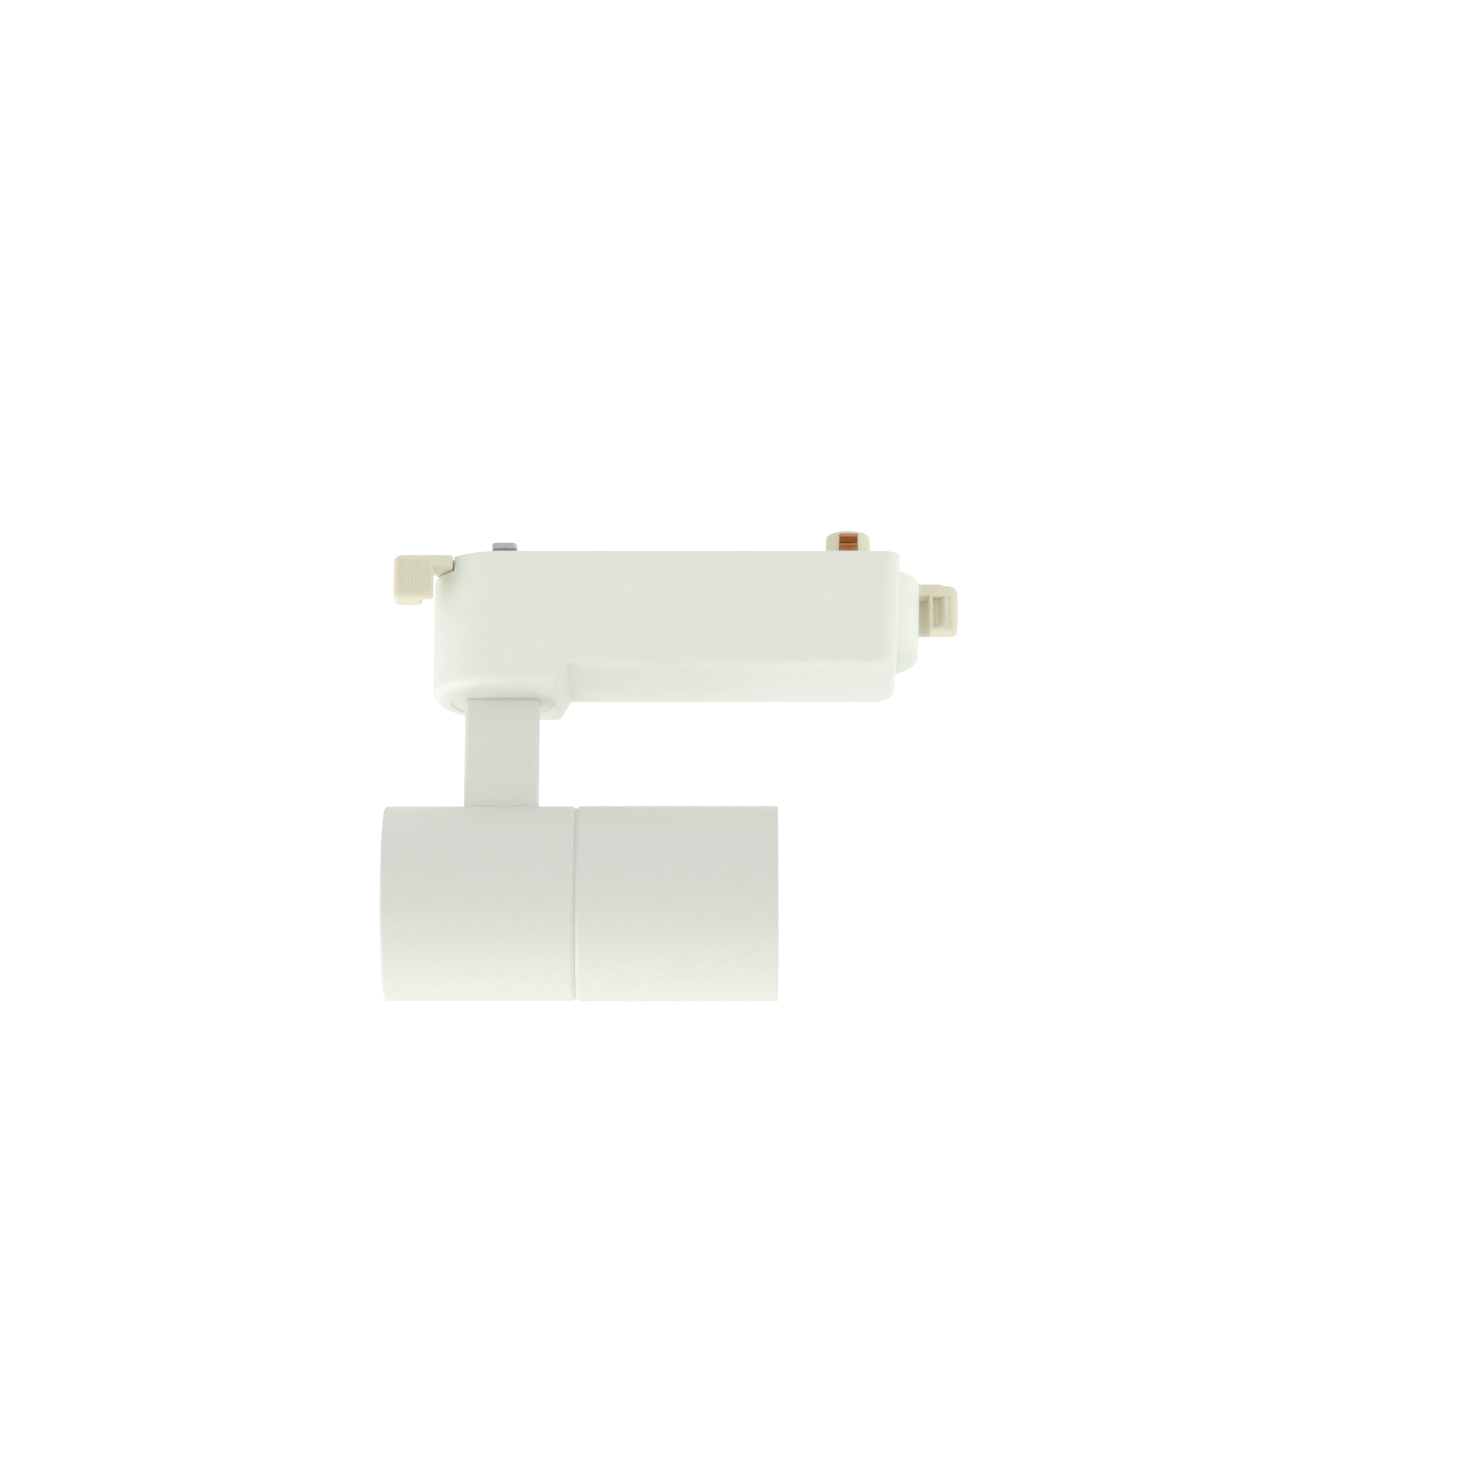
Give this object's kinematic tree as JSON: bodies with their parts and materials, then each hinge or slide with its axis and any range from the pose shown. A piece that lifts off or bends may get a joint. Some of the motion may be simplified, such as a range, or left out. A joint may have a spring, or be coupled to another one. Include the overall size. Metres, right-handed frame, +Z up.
{
  "type": "track spotlight",
  "caption": "Track spotlight: slim driver adapter with a locking lever at each end, a flat swivel stem under its round end and a tilting cylindrical head.",
  "frame": {"origin": "middle of the adapter's seating pad, on the face that rests against the track", "axes": "+Z up into the track, +X along the track towards the square end of the adapter and along the light beam at rest, +Y across the track"},
  "size_m": [0.1389, 0.047, 0.1161],
  "materials": {
    "housing_plastic": "fine satin moulded",
    "head_paint": "satin powder coat",
    "lever_plastic": "satin moulded, ivory",
    "zinc_steel": "zinc plated",
    "copper": "bright copper alloy strip",
    "cast_aluminium": "as cast",
    "mirror_aluminium": "bright anodised",
    "nylon": "natural nylon",
    "board": "green solder mask",
    "ferrite": "matt dark ferrite",
    "can_sleeve": "shrink sleeve",
    "film_case": "moulded case",
    "black_plastic": "moulded",
    "white_ceramic": "matt white",
    "phosphor": "silicone with phosphor",
    "clear_plastic": "clear polished",
    "lead_sleeve": "flexible sleeve"
  },
  "bodies": {
    "adapter": {"adapter_housing": "housing_plastic", "adapter_lid": "housing_plastic", "lid_screw_1": "zinc_steel", "lid_screw_2": "zinc_steel", "lid_screw_3": "zinc_steel", "lid_screw_4": "zinc_steel", "driver_board": "board", "transformer": "ferrite", "input_capacitor": "can_sleeve", "output_capacitor": "can_sleeve", "film_capacitor": "film_case", "choke": "ferrite", "fuse": "white_ceramic", "rectifier": "black_plastic", "live_terminal": "copper", "neutral_terminal": "copper", "driver_lead": "lead_sleeve"},
    "contact_rotor": {"contact_lever": "lever_plastic", "live_blade": "copper", "neutral_blade": "copper", "contact_clip": "zinc_steel"},
    "lock_rotor": {"lock_lever": "lever_plastic", "lock_plate": "zinc_steel", "lock_screw": "zinc_steel", "lock_clip": "zinc_steel"},
    "swivel": {"stem": "head_paint", "swivel_friction_disc": "nylon", "swivel_stop_washer": "zinc_steel", "swivel_spring_washer": "zinc_steel", "swivel_nut": "zinc_steel", "stem_lead": "lead_sleeve"},
    "head": {"rear_housing": "head_paint", "front_tube": "head_paint", "heat_sink": "cast_aluminium", "tilt_bracket": "zinc_steel", "bracket_screw_1": "zinc_steel", "bracket_screw_2": "zinc_steel", "tilt_bolt": "zinc_steel", "tilt_lock_washer": "zinc_steel", "tilt_nut": "zinc_steel", "friction_washer_1": "nylon", "friction_washer_2": "nylon", "led_board": "white_ceramic", "led_phosphor": "phosphor", "led_holder": "white_ceramic", "holder_screw_1": "zinc_steel", "holder_screw_2": "zinc_steel", "reflector": "mirror_aluminium", "front_lens": "clear_plastic", "lens_ring": "head_paint", "head_lead": "lead_sleeve"}
  },
  "joints": [
    {"name": "contact_lever_turn", "type": "hinge", "parent": "adapter", "child": "contact_rotor", "pos_m": [0.0418, 0, 0], "axis": [0, 0, -1], "range_deg": [0, 60]},
    {"name": "lock_lever_turn", "type": "hinge", "parent": "adapter", "child": "lock_rotor", "pos_m": [-0.0418, 0, 0], "axis": [0, 0, -1], "range_deg": [0, 60]},
    {"name": "pan", "type": "hinge", "parent": "adapter", "child": "swivel", "pos_m": [-0.0422, 0, -0.0333], "axis": [0, 0, 1], "range_deg": [-165, 165]},
    {"name": "tilt", "type": "hinge", "parent": "swivel", "child": "head", "pos_m": [-0.0422, 0, -0.08355], "axis": [0, 1, 0], "range_deg": [0, 90]}
  ]
}
